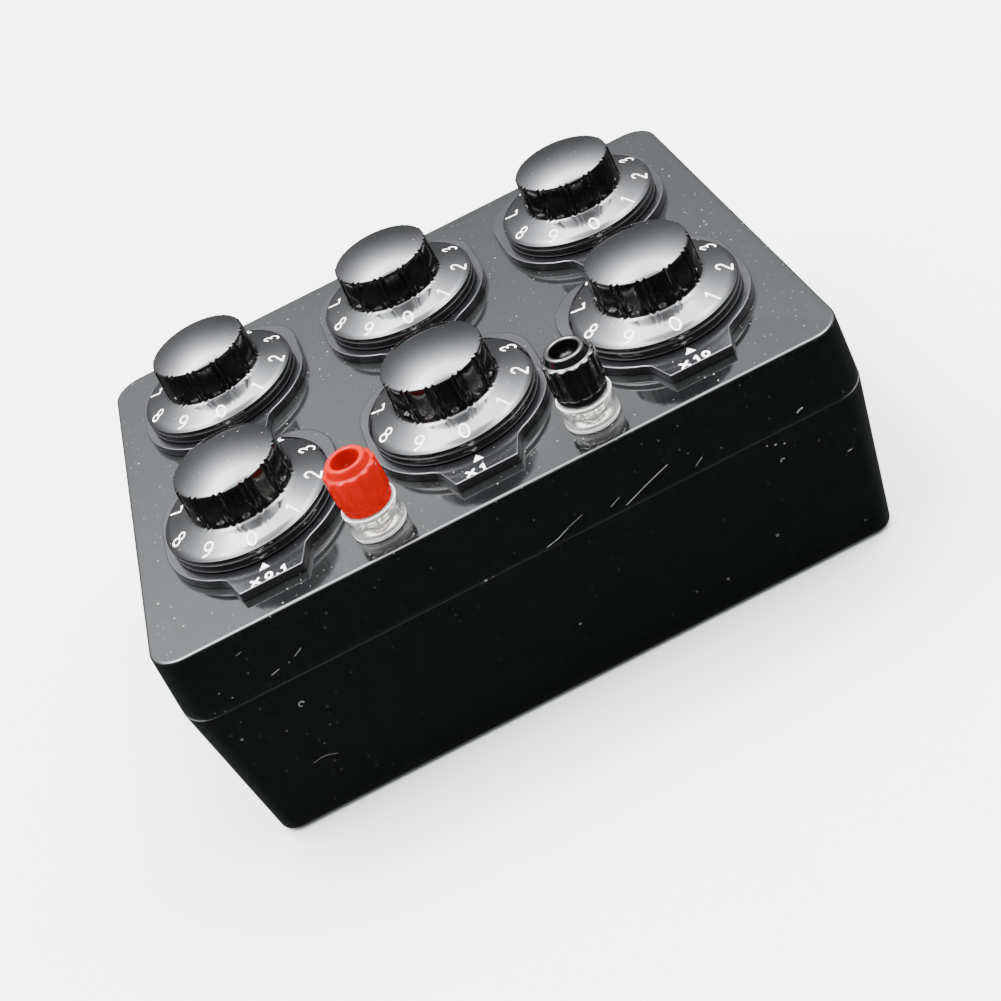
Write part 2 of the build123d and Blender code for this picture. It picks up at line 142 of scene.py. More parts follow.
def place_piece(name, mesh, finish, body, replaces=(), at=(0, 0, 0), sharp=40):
    """Put a mesh in the scene with its finish and tie it to the body that it moves with."""
    if not mesh.materials:
        mesh.materials.append(finish)
        for face in mesh.polygons:
            face.use_smooth = True
        mesh.set_sharp_from_angle(angle=math.radians(sharp))
    made = bpy.data.objects.new(name, mesh)
    made.location = Vector(at) * MM
    bpy.context.scene.collection.objects.link(made)
    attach(made, body)
    if replaces:
        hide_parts(*replaces)
    return made


def cut_away(mesh, cutters):
    """Cut closed meshes out of a mesh with a Boolean and give back the result as a mesh."""
    target = bpy.data.objects.new("cut_target", mesh)
    bpy.context.scene.collection.objects.link(target)
    tools = []
    for cutter in cutters:
        tool = bpy.data.objects.new("cutter", cutter)
        bpy.context.scene.collection.objects.link(tool)
        change = target.modifiers.new("cut", "BOOLEAN")
        change.operation = "DIFFERENCE"
        change.solver = "EXACT"
        change.object = tool
        tools.append(tool)
    bpy.context.view_layer.update()
    graph = bpy.context.evaluated_depsgraph_get()
    result = bpy.data.meshes.new_from_object(target.evaluated_get(graph))
    result.name = mesh.name + "_cut"
    for spare in tools + [target]:
        bpy.data.objects.remove(spare)
    return result


# %% [markdown]
# Numbers, signs and scratches are all pen strokes. A font would give printed letters, but these
# dials were engraved by a small round tool and filled with white. So a stroke is a path of flat
# points, straight or a piece of an ellipse, and the ribbon helper turns it into a strip with
# round ends that is slightly higher along its middle. Who calls it says how a flat point comes
# to lie on the piece.

# %% Helpers for strokes
def arc(centre_u, centre_v, radius_u, radius_v, start=0, end=360, steps=20):
    """Piece of an ellipse between two angles in degrees."""
    points = []
    for step in range(steps + 1):
        angle = math.radians(start + (end - start) * step / steps)
        points.append((centre_u + radius_u * math.cos(angle), centre_v + radius_v * math.sin(angle)))
    return points


def add_ribbon(work, path, width, lay, crown=0.03):
    """Add a strip along a path; lay() turns a flat point and a rise into a place in space."""
    closed = math.dist(path[0], path[-1]) < 0.01
    points = [Vector(point) for point in (path[:-1] if closed else path)]
    rows = []
    for i, point in enumerate(points):
        ahead = points[(i + 1) % len(points)] if closed or i + 1 < len(points) else point
        behind = points[i - 1] if closed or i > 0 else point
        rows.append((point, (ahead - behind).normalized(), width / 2))
    if closed:
        rows.append(rows[0])
    else:
        first, last = rows[0], rows[-1]
        for tilt in (30, 55, 80):
            reach = width / 2 * math.sin(math.radians(tilt))
            half = width / 2 * math.cos(math.radians(tilt))
            rows.insert(0, (first[0] - first[1] * reach, first[1], half))
            rows.append((last[0] + last[1] * reach, last[1], half))
    strip = []
    for point, along, half in rows:
        side = Vector((-along.y, along.x)) * half
        strip.append([
            work.verts.new(lay(place, rise) * MM)
            for place, rise in ((point + side, 0), (point, crown), (point - side, 0))
        ])
    for low, high in zip(strip, strip[1:]):
        for i in (0, 1):
            work.faces.new((low[i], low[i + 1], high[i + 1], high[i]))


def finish_mesh(work, name):
    mesh = bpy.data.meshes.new(name)
    work.to_mesh(mesh)
    work.free()
    return mesh


# %% [markdown]
# The finishes are procedural: noise and cell patterns stand for what hands, dust and years
# have done. The helper below adds one node and sets its sockets in a single line, so that a
# finish reads like a recipe. Patterns use object coordinates, which stay put on the piece, and
# a number per object keeps six equal knobs from wearing the same dust.

# %% Helpers for finishes
def new_finish(name):
    finish = bpy.data.materials.new(name)
    finish.use_nodes = True
    return finish, finish.node_tree, finish.node_tree.nodes["Principled BSDF"]


def feed(tree, socket, value):
    """Give a socket a value or another node's output."""
    if isinstance(value, bpy.types.NodeSocket):
        tree.links.new(value, socket)
    else:
        socket.default_value = value


def add(tree, kind, settings=None, **sockets):
    """Add a node and feed its sockets; i0 or i1 means a socket by its number."""
    made = tree.nodes.new(kind)
    for key, value in (settings or {}).items():
        setattr(made, key, value)
    for key, value in sockets.items():
        name = key.replace("_", " ")
        numbered = key[0] == "i" and key[1:].isdigit()
        feed(tree, made.inputs[int(key[1:])] if numbered else made.inputs[name], value)
    return made


def maths(tree, operation, first, second=0.5, clamp=False):
    made = add(tree, "ShaderNodeMath", {"operation": operation, "use_clamp": clamp}, i0=first, i1=second)
    return made.outputs[0]


def remap(tree, value, low, high, to_low=0.0, to_high=1.0):
    made = add(tree, "ShaderNodeMapRange", i0=value, i1=low, i2=high, i3=to_low, i4=to_high)
    return made.outputs[0]


def blend_colours(tree, share, first, second):
    made = add(tree, "ShaderNodeMix", {"data_type": "RGBA"}, i0=share, i6=first, i7=second)
    return made.outputs[2]


def join(tree, shader, base, rough, bump_height, strength, distance=0.0001):
    """Link colour, roughness and a bump to the shader; a bump's distance is in metres."""
    bump = add(tree, "ShaderNodeBump", Strength=strength, Distance=distance, Height=bump_height)
    feed(tree, shader.inputs["Base Color"], base)
    feed(tree, shader.inputs["Roughness"], rough)
    feed(tree, shader.inputs["Normal"], bump.outputs[0])


def shifted_coordinates(tree):
    """Object coordinates in metres, moved by an amount of its own for each object."""
    place = add(tree, "ShaderNodeTexCoord").outputs["Object"]
    number = add(tree, "ShaderNodeObjectInfo").outputs["Random"]
    shift = add(tree, "ShaderNodeVectorMath", {"operation": "SCALE"}, i0=(3.1, 1.7, 2.3), Scale=number)
    return add(tree, "ShaderNodeVectorMath", {"operation": "ADD"}, i0=place, i1=shift.outputs[0]).outputs[0]


def specks(tree, place, spacing, size, share):
    """Round grains: cells of a pattern, of which only a share holds a grain."""
    cells = add(tree, "ShaderNodeTexVoronoi", Vector=place, Scale=1 / spacing)
    number = add(tree, "ShaderNodeSeparateColor", Color=cells.outputs["Color"])
    reach = remap(tree, number.outputs[0], 1 - share, 1, 0, size / spacing)
    return maths(tree, "GREATER_THAN", maths(tree, "SUBTRACT", reach, cells.outputs["Distance"]), 0.0)


# %% [markdown]
# The case, knobs and plates are glossy black phenolic plastic, which mirrors a little more than
# most plastics do. What tells the eye so is not the black but what lies on it: pale dust in
# grains of three sizes, a thin film, a breath of uneven gloss, and edges rubbed lighter. Dust
# could be scattered as small meshes, but there are thousands of grains, so a cell pattern in
# the finish does it. More of it settles on faces that look up. Each dust has the distance
# between its grains and the size of a grain, in metres.

# %% Black plastic
PHENOLIC_IOR = 1.6
FINE_DUST = (0.0021, 0.00026)
COARSE_DUST = (0.0085, 0.0006)
FAINT_DUST = (0.0016, 0.0003)
DUST_ROUGHNESS = 0.7
DUST_GREY = (0.12, 0.12, 0.115, 1)
FILM_GREY = (0.03, 0.03, 0.029, 1)
EDGE_GREY = (0.012, 0.012, 0.012, 1)


def black_plastic(name, colour, gloss, dust=0.5, wear=0.5):
    finish, tree, shader = new_finish(name)
    shader.inputs["IOR"].default_value = PHENOLIC_IOR
    place = shifted_coordinates(tree)
    surface = add(tree, "ShaderNodeNewGeometry")
    facing = add(tree, "ShaderNodeSeparateXYZ", Vector=surface.outputs["Normal"])
    lying = remap(tree, facing.outputs["Z"], 0.2, 0.9, 0.3, 1.0)
    clumps = add(tree, "ShaderNodeTexNoise", Vector=place, Scale=55, Detail=3)
    gathered = remap(tree, clumps.outputs[0], 0.32, 0.6)
    fine = specks(tree, place, *FINE_DUST, 0.25 + 0.45 * dust)
    coarse = specks(tree, place, *COARSE_DUST, 0.1 + 0.2 * dust)
    faint = maths(tree, "MULTIPLY", specks(tree, place, *FAINT_DUST, 0.6), 0.22 * dust)
    grains = maths(tree, "MAXIMUM", maths(tree, "MULTIPLY", fine, gathered), coarse)
    grains = maths(tree, "MAXIMUM", grains, faint)
    grains = maths(tree, "MULTIPLY", grains, lying)
    film = add(tree, "ShaderNodeTexNoise", Vector=place, Scale=140, Detail=6, Roughness=0.7)
    film = maths(tree, "MULTIPLY", remap(tree, film.outputs[0], 0.4, 0.75, 0.0, 0.05 * wear), lying)
    edges = remap(tree, surface.outputs["Pointiness"], 0.52, 0.6, 0, 0.6 * wear)
    base = blend_colours(tree, film, (*colour, 1), FILM_GREY)
    base = blend_colours(tree, edges, base, EDGE_GREY)
    base = blend_colours(tree, grains, base, DUST_GREY)
    smears = add(tree, "ShaderNodeTexNoise", Vector=place, Scale=38, Detail=4, Distortion=0.6)
    rough = remap(tree, smears.outputs[0], 0.3, 0.75, gloss * 0.75, gloss * 1.6)
    rough = maths(tree, "MAXIMUM", rough, maths(tree, "MULTIPLY", grains, DUST_ROUGHNESS))
    ripple = add(tree, "ShaderNodeTexNoise", Vector=place, Scale=320, Detail=2)
    height = maths(tree, "ADD", maths(tree, "MULTIPLY", ripple.outputs[0], 0.12), grains)
    join(tree, shader, base, rough, height, 0.25, 0.00012)
    return finish


CASE_BLACK = black_plastic("case black", (0.0017, 0.0020, 0.0019), 0.075, dust=1.0, wear=0.9)
KNOB_BLACK = black_plastic("knob black", (0.0015, 0.0015, 0.0016), 0.1, dust=0.35, wear=0.5)
PLATE_BLACK = black_plastic("plate black", (0.0055, 0.0055, 0.006), 0.16, dust=0.8, wear=0.6)
CAP_BLACK = black_plastic("cap black", (0.0015, 0.0015, 0.0015), 0.1, dust=0.5, wear=0.5)
print("black finishes:", [m.name for m in (CASE_BLACK, KNOB_BLACK, PLATE_BLACK, CAP_BLACK)])

# %% [markdown]
# The other finishes are simpler. Red plastic keeps the same grains but lets light in a little.
# The clear collars are real glass to the renderer, with a trace of haze, and their rims are
# frosted. A clear look could be had by mixing in transparency, but then nothing would bend
# behind it. The white print is a little worn.

# %% Red, clear and printed finishes
BRIGHT_RED = (0.26, 0.0007, 0.0002, 1)
DEEP_RED = (0.21, 0.0005, 0.0001, 1)
WORN_RED = (0.4, 0.03, 0.015, 1)
CLEAR_TINT = (0.93, 0.93, 0.91, 1)


def red_plastic(name):
    finish, tree, shader = new_finish(name)
    place = shifted_coordinates(tree)
    tone = add(tree, "ShaderNodeTexNoise", Vector=place, Scale=160, Detail=4)
    base = blend_colours(tree, remap(tree, tone.outputs[0], 0.3, 0.7), BRIGHT_RED, DEEP_RED)
    grains = specks(tree, place, 0.0016, 0.00022, 0.35)
    base = blend_colours(tree, maths(tree, "MULTIPLY", grains, 0.6), base, WORN_RED)
    shader.inputs["Specular IOR Level"].default_value = 0.06
    shader.inputs["Subsurface Weight"].default_value = 0.12
    shader.inputs["Subsurface Radius"].default_value = (0.6, 0.05, 0.03)
    shader.inputs["Subsurface Scale"].default_value = 0.0006
    rough = remap(tree, tone.outputs[0], 0.3, 0.7, 0.10, 0.18)
    rough = maths(tree, "MAXIMUM", rough, maths(tree, "MULTIPLY", grains, DUST_ROUGHNESS))
    join(tree, shader, base, rough, tone.outputs[0], 0.15)
    return finish


def clear_plastic(name, clearness, haziness):
    finish, tree, shader = new_finish(name)
    place = shifted_coordinates(tree)
    shader.inputs["Transmission Weight"].default_value = clearness
    shader.inputs["IOR"].default_value = 1.49
    haze = add(tree, "ShaderNodeTexNoise", Vector=place, Scale=420, Detail=3)
    grains = specks(tree, place, 0.0018, 0.00025, 0.4)
    rough = remap(tree, haze.outputs[0], 0.35, 0.8, 0.0, haziness)
    rough = maths(tree, "MAXIMUM", rough, maths(tree, "MULTIPLY", grains, 0.6))
    flow = add(tree, "ShaderNodeTexNoise", Vector=place, Scale=230, Detail=2, Distortion=1.0)
    join(tree, shader, CLEAR_TINT, rough, flow.outputs[0], 0.25, 0.0003)
    return finish


def white_print(name):
    finish, tree, shader = new_finish(name)
    place = shifted_coordinates(tree)
    worn = add(tree, "ShaderNodeTexNoise", Vector=place, Scale=900, Detail=4)
    wear = remap(tree, worn.outputs[0], 0.5, 0.8)
    base = blend_colours(tree, wear, (0.62, 0.62, 0.60, 1), (0.30, 0.30, 0.29, 1))
    feed(tree, shader.inputs["Base Color"], base)
    feed(tree, shader.inputs["Roughness"], remap(tree, worn.outputs[0], 0.3, 0.7, 0.35, 0.6))
    return finish


CAP_RED = red_plastic("cap red")
COLLAR_CLEAR = clear_plastic("collar clear", 0.94, 0.08)
COLLAR_FROSTED = clear_plastic("collar frosted", 0.45, 0.5)
PRINT_WHITE = white_print("print white")
print("bright finishes:", [m.name for m in (CAP_RED, COLLAR_CLEAR, COLLAR_FROSTED, PRINT_WHITE)])

# %% [markdown]
# Metal parts get fine marks, drawn out along the way they were turned or rolled, and dull
# patches where hands have been. The board, lacquer, rubber and sleeves inside the case are two
# tones in grains with a soft sheen. One function for each family keeps them short.

# %% Metal and workshop finishes
def metal(name, colour, gloss, dull, grain=600, streak=(1, 1, 12)):
    """Metal with drawn-out marks and dull patches."""
    finish, tree, shader = new_finish(name)
    place = shifted_coordinates(tree)
    drawn = add(tree, "ShaderNodeMapping", Vector=place, Scale=streak)
    marks = add(tree, "ShaderNodeTexNoise", Vector=drawn.outputs[0], Scale=grain, Detail=4)
    patches = add(tree, "ShaderNodeTexNoise", Vector=place, Scale=130, Detail=5)
    base = blend_colours(tree, remap(tree, patches.outputs[0], 0.45, 0.75), (*colour, 1), (*dull, 1))
    shader.inputs["Metallic"].default_value = 1.0
    rough = remap(tree, marks.outputs[0], 0.3, 0.7, gloss * 0.7, gloss * 1.5)
    join(tree, shader, base, rough, marks.outputs[0], 0.2, 0.00005)
    return finish


def dull_stuff(name, colour, other, grain, rough, bumpy=0.3):
    """Rubber, board, lacquer and the like: two tones in grains, and a soft sheen."""
    finish, tree, shader = new_finish(name)
    place = shifted_coordinates(tree)
    tone = add(tree, "ShaderNodeTexNoise", Vector=place, Scale=grain, Detail=6, Roughness=0.65)
    base = blend_colours(tree, remap(tree, tone.outputs[0], 0.35, 0.65), (*colour, 1), (*other, 1))
    uneven = remap(tree, tone.outputs[0], 0.3, 0.7, rough * 0.8, rough)
    join(tree, shader, base, uneven, tone.outputs[0], bumpy)
    return finish


POST_NICKEL = metal("post nickel", (0.78, 0.74, 0.68), 0.18, (0.45, 0.40, 0.33))
SHAFT_STEEL = metal("shaft steel", (0.62, 0.62, 0.61), 0.28, (0.42, 0.42, 0.41))
FRAME_STEEL = metal("frame steel", (0.66, 0.65, 0.60), 0.32, (0.46, 0.44, 0.36), streak=(10, 1, 1))
SPRING_STEEL = metal("spring steel", (0.22, 0.24, 0.30), 0.25, (0.12, 0.12, 0.14))
CONTACT_BRASS = metal("contact brass", (0.80, 0.62, 0.30), 0.26, (0.42, 0.27, 0.12))
DECK_BOARD = dull_stuff("deck board", (0.20, 0.085, 0.030), (0.28, 0.13, 0.05), 500, 0.5)
ROTOR_PLASTIC = dull_stuff("rotor plastic", (0.72, 0.68, 0.56), (0.62, 0.57, 0.45), 220, 0.45, 0.1)
RESISTOR_LACQUER = dull_stuff("resistor lacquer", (0.36, 0.22, 0.12), (0.45, 0.30, 0.18), 700, 0.4)
WIRE_SLEEVE = dull_stuff("wire sleeve", (0.35, 0.05, 0.03), (0.28, 0.04, 0.03), 900, 0.45, 0.15)
SCRATCH_GREY = dull_stuff("scratch grey", (0.16, 0.16, 0.155), (0.05, 0.05, 0.05), 900, 0.6)
FOOT_RUBBER = dull_stuff("foot rubber", (0.018, 0.018, 0.018), (0.035, 0.034, 0.033), 1200, 0.85, 0.5)

# %% [markdown]
# The pieces inside the case are never seen unless someone opens the model, but they are real
# solids with the right shapes. They keep their own meshes and only get a finish.

# %% Finishes for the solids that stay as they are
def dress(node, finish):
    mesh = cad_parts[node].data
    mesh.materials.clear()
    mesh.materials.append(finish)


STAYING = {
    "feet": FOOT_RUBBER,
    "switch_frames": FRAME_STEEL,
    "detent_springs": SPRING_STEEL,
    "switch_decks": DECK_BOARD,
    "contact_blades": CONTACT_BRASS,
    "common_contacts": CONTACT_BRASS,
    "resistors": RESISTOR_LACQUER,
    "link_wires": WIRE_SLEEVE,
    "solder_lugs": CONTACT_BRASS,
    "post_insert_red": POST_NICKEL,
    "post_insert_black": POST_NICKEL,
}
DECADES = ("ten_thousands", "thousands", "hundreds", "tenths", "units", "tens")
for decade in DECADES:
    STAYING["shaft_" + decade] = SHAFT_STEEL
    STAYING["rotor_" + decade] = ROTOR_PLASTIC
    STAYING["wiper_" + decade] = CONTACT_BRASS
for node, finish in STAYING.items():
    dress(node, finish)
print("solids kept and finished:", len(STAYING))

# %% [markdown]
# The lid is one half of the case. Its walls lean in towards the top, as a mould needs, and its
# top edge has a tight radius that catches a thin bright line of light. The line stays crisp
# because a last ring lies just inside the edge and keeps the flat top flat. At the seam the
# lid stands back by a quarter of a millimetre, so the base's edge shows as a fine light line.
# The holes for the bushings and studs are cut with a Boolean, since a loft can't branch.

# %% Lid
LID_TOP = 74.4
SEAM = 53.4
SEAM_HALF = (101.2, 77.2)
SEAM_RADIUS = 10.2
LID_LEAN = 1.2 / 21.0  # millimetres inwards for each one of height
BASE_LEAN = 4.4 / 52.2
WALL = 3.0
CAVITY = (97.0, 73.0, 4.0)  # half length, half width and corner radius
CAVITY_FLOOR = (92.8, 68.8, 4.0)


def case_ring(inset, height):
    return corner_ring(SEAM_HALF[0] - inset, SEAM_HALF[1] - inset, SEAM_RADIUS - inset, height)


def lid_wall(height, inset=0.0):
    return case_ring((height - SEAM) * LID_LEAN + inset, height)


DIAL_PLACES = {
    "ten_thousands": (-63, 35.7), "thousands": (0, 35.7), "hundreds": (63, 35.7),
    "tenths": (-63, -32.7), "units": (0, -32.7), "tens": (63, -32.7),
}
POST_PLACES = {"red": (-31.5, -62), "black": (31.5, -62)}

lid_edge = 0.75
lid_rings = [
    corner_ring(*CAVITY, LID_TOP - WALL),
    corner_ring(*CAVITY, SEAM + 0.03),
    lid_wall(SEAM + 0.03, 0.5),
    lid_wall(SEAM + 0.08, 0.34),
    lid_wall(SEAM + 0.3, 0.26),
    lid_wall(SEAM + 1.2, 0.04),
]
for height in (58, 63, 68):
    lid_rings.append(lid_wall(height))
for inset, rise in quarter_round(6):
    lid_rings.append(lid_wall(LID_TOP - lid_edge + lid_edge * rise, lid_edge * inset))
lid_rings.append(lid_wall(LID_TOP, lid_edge + 0.4))
lid_mesh = loft("case_lid", lid_rings, cap_first=True, cap_last=True)
BUSHING_HOLE = 4.9
STUD_HOLE = 3.15


def drill(radius, bottom, top, place):
    """Closed round cutter."""
    return loft("drill", [round_ring(radius, level, 32, place) for level in (bottom, top)], True, True)


holes = [drill(BUSHING_HOLE, LID_TOP - 8, LID_TOP + 4, place) for place in DIAL_PLACES.values()]
holes += [drill(STUD_HOLE, LID_TOP - 8, LID_TOP + 4, place) for place in POST_PLACES.values()]
lid_mesh = cut_away(lid_mesh, holes)
place_piece("case_lid", lid_mesh, CASE_BLACK, "case", ["lid"])
print("lid faces:", len(lid_mesh.polygons))

# %% [markdown]
# The base is the deeper half. Its walls lean the other way, so the box is widest at the seam.
# Underneath are four shallow beds for the rubber feet and four wells for the screws that hold
# the halves together.

# %% Base
FOOT_PLACES = [(x, y) for x in (-70, 70) for y in (-60, 60)]
SCREW_PLACES = [(x, y) for x in (-86, 86) for y in (-62, 62)]
BASE_BOTTOM = 1.2


def base_wall(height, inset=0.0):
    return case_ring((SEAM - height) * BASE_LEAN + inset, height)


base_rings = [
    corner_ring(*CAVITY_FLOOR, BASE_BOTTOM + WALL),
    corner_ring(*CAVITY, SEAM - 0.02),
    base_wall(SEAM - 0.02, 0.5),
    base_wall(SEAM - 0.02, 0.28),
    base_wall(SEAM - 0.09, 0.1),
    base_wall(SEAM - 0.25, 0.01),
    base_wall(SEAM - 0.6),
]
for height in (48, 40, 30, 20, 10):
    base_rings.append(base_wall(height))
floor_edge = 1.0
for inset, drop in quarter_round(6):
    base_rings.append(base_wall(BASE_BOTTOM + floor_edge - floor_edge * drop, floor_edge * inset))
base_rings.append(base_wall(BASE_BOTTOM, floor_edge + 0.4))
base_mesh = loft("case_base", base_rings, cap_first=True, cap_last=True)
FOOT_BED = 6.1
SCREW_WELL = 3.2


def bed(place):
    """Closed square cutter for a foot's bed."""
    levels = (BASE_BOTTOM - 2, BASE_BOTTOM + 1.0)
    rings = [corner_ring(FOOT_BED, FOOT_BED, 0.4, level, 3, place) for level in levels]
    return loft("bed", rings, True, True)


beds = [bed(place) for place in FOOT_PLACES]
wells = [drill(SCREW_WELL, BASE_BOTTOM - 2, BASE_BOTTOM + 5, place) for place in SCREW_PLACES]
base_mesh = cut_away(base_mesh, beds + wells)
place_piece("case_base", base_mesh, CASE_BLACK, "case", ["base"])
print("base faces:", len(base_mesh.polygons))

# %% [markdown]
# Years on a bench have left scratches on the front. A noise pattern could draw some anywhere,
# but these are few, and each has its own place, so every one is a thin stroke on the leaning
# wall. A path gives places across the front and heights above the table.

# %% Scratches on the front
SCRATCHES = [
    (0.22, [(28.6, 54.6), (35.0, 57.3), (42.5, 60.1)]),
    (0.16, [(24.6, 56.3), (27.6, 57.9)]),
    (0.20, [(5.0, 54.0), (8.5, 54.9), (12.0, 56.5)]),
    (0.10, [(12.4, 56.7), (16.8, 58.2)]),
    (0.14, [(49.4, 55.6), (51.8, 57.3)]),
    (0.16, [(-74.0, 57.5), (-71.6, 58.2)]),
    (0.14, [(-66.3, 59.6), (-63.9, 61.0)]),
    (0.12, [(-79.1, 67.9), (-77.5, 68.3)]),
    (0.10, [(-78.1, 22.0), (-75.8, 22.6), (-73.6, 22.4), (-71.2, 21.2)]),
    (0.30, arc(-71.7, 43.9, 0.8, 0.9, 20, 250)),
    (0.25, arc(71.7, 43.5, 0.6, 0.5, 30, 220)),
    (0.45, [(79.6, 56.2), (80.2, 56.6), (81.2, 56.8)]),
    (0.30, [(71.0, 49.7), (71.4, 49.8)]),
    (0.25, [(68.8, 50.6), (69.0, 50.9)]),
    (0.25, [(73.4, 48.6), (73.8, 48.7)]),
    (0.30, [(89.4, 35.4), (90.2, 35.5)]),
    (0.25, [(-88.2, 59.8), (-88.0, 59.9)]),
    (0.25, [(-85.9, 56.8), (-85.7, 56.8)]),
    (0.20, [(-68.6, 58.5), (-68.4, 58.6)]),
]


def on_front(point, rise):
    x, height = point
    lean = (height - SEAM) * LID_LEAN if height > SEAM else (SEAM - height) * BASE_LEAN
    return Vector((x, lean - SEAM_HALF[1] - rise, height))


work = bmesh.new()
for width, path in SCRATCHES:
    add_ribbon(work, path, width, lambda point, rise: on_front(point, rise + 0.01), crown=0.02)
place_piece("case_scratches", finish_mesh(work, "case_scratches"), SCRATCH_GREY, "case")
print("scratches:", len(SCRATCHES))

# %% [markdown]
# Inside each corner stands a square pillar, bored from below. A ring with four sides and a
# ring with a round hole can be skinned together when both have their points at equal angles.

# %% Pillars
PILLAR_HALF = 4.5
PILLAR_FOOT = BASE_BOTTOM + WALL + 0.05
SCREW_BORE = 1.6
SCREW_LEVEL = SEAM - 8


def square_ring(half, height, count=32):
    points = []
    for i in range(count):
        angle = math.tau * (i + 0.5) / count
        reach = half / max(abs(math.cos(angle)), abs(math.sin(angle)))
        points.append(polar(reach, angle, height))
    return points


def turned_ring(radius, height, count=32):
    """Circle whose first point stands half a step on."""
    step = math.tau / count
    return [polar(radius, (i + 0.5) * step, height) for i in range(count)]


pillar_mesh = loft("case_pillar", [
    square_ring(PILLAR_HALF, PILLAR_FOOT),
    square_ring(PILLAR_HALF, SEAM - 0.1),
    turned_ring(SCREW_BORE, SEAM - 0.1),
    turned_ring(SCREW_BORE, SCREW_LEVEL),
    turned_ring(SCREW_WELL, SCREW_LEVEL),
    turned_ring(SCREW_WELL, PILLAR_FOOT),
], closed=True)
for number, place in enumerate(SCREW_PLACES):
    place_piece(
        f"case_pillar_{number}", pillar_mesh, CASE_BLACK, "case", at=(*place, 0), sharp=30,
    )
print("pillars:", len(SCREW_PLACES))

# %% [markdown]
# A slotted screw sits at the end of each well. Its head is a loft with a round rim, and the slot
# is cut out of it by a long thin block. The four heads stand at different turns, as screws do
# when nobody lines them up.

# %% Screws
def slot_head(name, radius, height, slot_width, slot_depth, dome):
    """Round screw head with a rounded rim and a straight slot, its top towards +Z."""
    side = height * 0.6
    rings = [round_ring(radius * 0.4, 0, 48), round_ring(radius, 0, 48), round_ring(radius, side, 48)]
    for step in range(1, 6):
        angle = math.pi / 2 * step / 6
        rings.append(round_ring(radius * math.cos(angle * 0.75), side + dome * math.sin(angle), 48))
    head = loft(name, rings, True, True)
    half = slot_width / 2
    reach = radius + 1
    groove = loft("groove", [
        [(-reach, -half, level), (reach, -half, level), (reach, half, level), (-reach, half, level)]
        for level in (side + dome - slot_depth, height + dome + 1)
    ], True, True)
    return cut_away(head, [groove])


screw_mesh = slot_head("case_screw", radius=2.9, height=1.6, slot_width=0.8, slot_depth=0.9, dome=0.8)
for number, place in enumerate(SCREW_PLACES):
    screw = place_piece(f"case_screw_{number}", screw_mesh, SHAFT_STEEL, "case")
    spot = Matrix.Translation(Vector((*place, SCREW_LEVEL)) * MM)
    screw.matrix_world = spot @ Matrix.Rotation(0.5 + number, 4, "Z") @ Matrix.Rotation(math.pi, 4, "X")
print("screws:", len(SCREW_PLACES))

# %% [markdown]
# Under each dial lies a plate about as thick as two coins. It is round in front, straight at
# the sides and has large corners behind, and a tab reaches out in front to carry the pointer.
# A faint raised ring runs across the tab, where the round part ends. The outline is drawn as a
# ring of points seen from the dial, so that plate, edge radius and bushing hole come from one
# loft.

# %% Index plates
PLATE_RADIUS = 27.2
PLATE_THICK = 2.8
PLATE_CORNER = 18.5
PLATE_CORNER_Y = 12.0
TAB_ROOT = 12.0
TAB_END = 9.3
TAB_REACH = 33.4


def plate_outline():
    """Right half from the tab's end to the back, then the left half mirrored."""
    root = math.degrees(math.acos(TAB_ROOT / PLATE_RADIUS))
    side = [(0.001, -TAB_REACH), (TAB_END / 2, -TAB_REACH), (TAB_END - 0.7, -TAB_REACH)]
    side += [(TAB_END - 0.2, -TAB_REACH + 0.15), (TAB_END + 0.1, -TAB_REACH + 0.7)]
    root_y = -PLATE_RADIUS * math.sin(math.radians(root))
    for share in (0.3, 0.6, 0.9):
        side.append((TAB_END + (TAB_ROOT - TAB_END) * share, -TAB_REACH + (TAB_REACH + root_y) * share))
    for step in range(1, 17):
        angle = math.radians(-root + root * step / 16)
        side.append((PLATE_RADIUS * math.cos(angle), PLATE_RADIUS * math.sin(angle)))
    for y in (3, 6, 9):
        side.append((PLATE_RADIUS, y))
    for step in range(17):
        angle = math.pi / 2 * step / 16
        side.append((
            PLATE_RADIUS - PLATE_CORNER + PLATE_CORNER * math.cos(angle),
            PLATE_CORNER_Y + PLATE_CORNER * math.sin(angle),
        ))
    side.append((4, PLATE_CORNER_Y + PLATE_CORNER))
    return side + [(-x, y) for x, y in reversed(side)]


def drawn_in(outline, inset, height):
    """The outline moved inwards by its own normals."""
    count = len(outline)
    ring = []
    for i, (x, y) in enumerate(outline):
        ahead, behind = outline[(i + 1) % count], outline[i - 1]
        along = Vector((ahead[0] - behind[0], ahead[1] - behind[1])).normalized()
        ring.append((x - along.y * inset, y + along.x * inset, height))
    return ring


outline = plate_outline()
plate_rings = [drawn_in(outline, 0.25, LID_TOP + 0.02), drawn_in(outline, 0.05, LID_TOP + 0.2)]
plate_edge = 0.35
for inset, rise in quarter_round(4):
    height = LID_TOP + PLATE_THICK - plate_edge * (1 - rise)
    plate_rings.append(drawn_in(outline, 0.05 + plate_edge * inset, height))
plate_rings.append(drawn_in(outline, plate_edge + 0.4, LID_TOP + PLATE_THICK))
for share in (0.75, 0.4):
    plate_rings.append([(x * share, y * share, LID_TOP + PLATE_THICK) for x, y in outline])
bore = [(BUSHING_HOLE * x / math.hypot(x, y), BUSHING_HOLE * y / math.hypot(x, y)) for x, y in outline]
plate_rings.append([(x, y, LID_TOP + PLATE_THICK) for x, y in bore])
plate_rings.append([(x, y, LID_TOP + 0.02) for x, y in bore])
plate_mesh = loft("index_plate", plate_rings, closed=True)
for decade, (x, y) in DIAL_PLACES.items():
    place_piece(
        "index_plate_" + decade, plate_mesh, PLATE_BLACK, "case",
        ["index_plates"], at=(x, y, 0),
    )
print("plate faces:", len(plate_mesh.polygons))

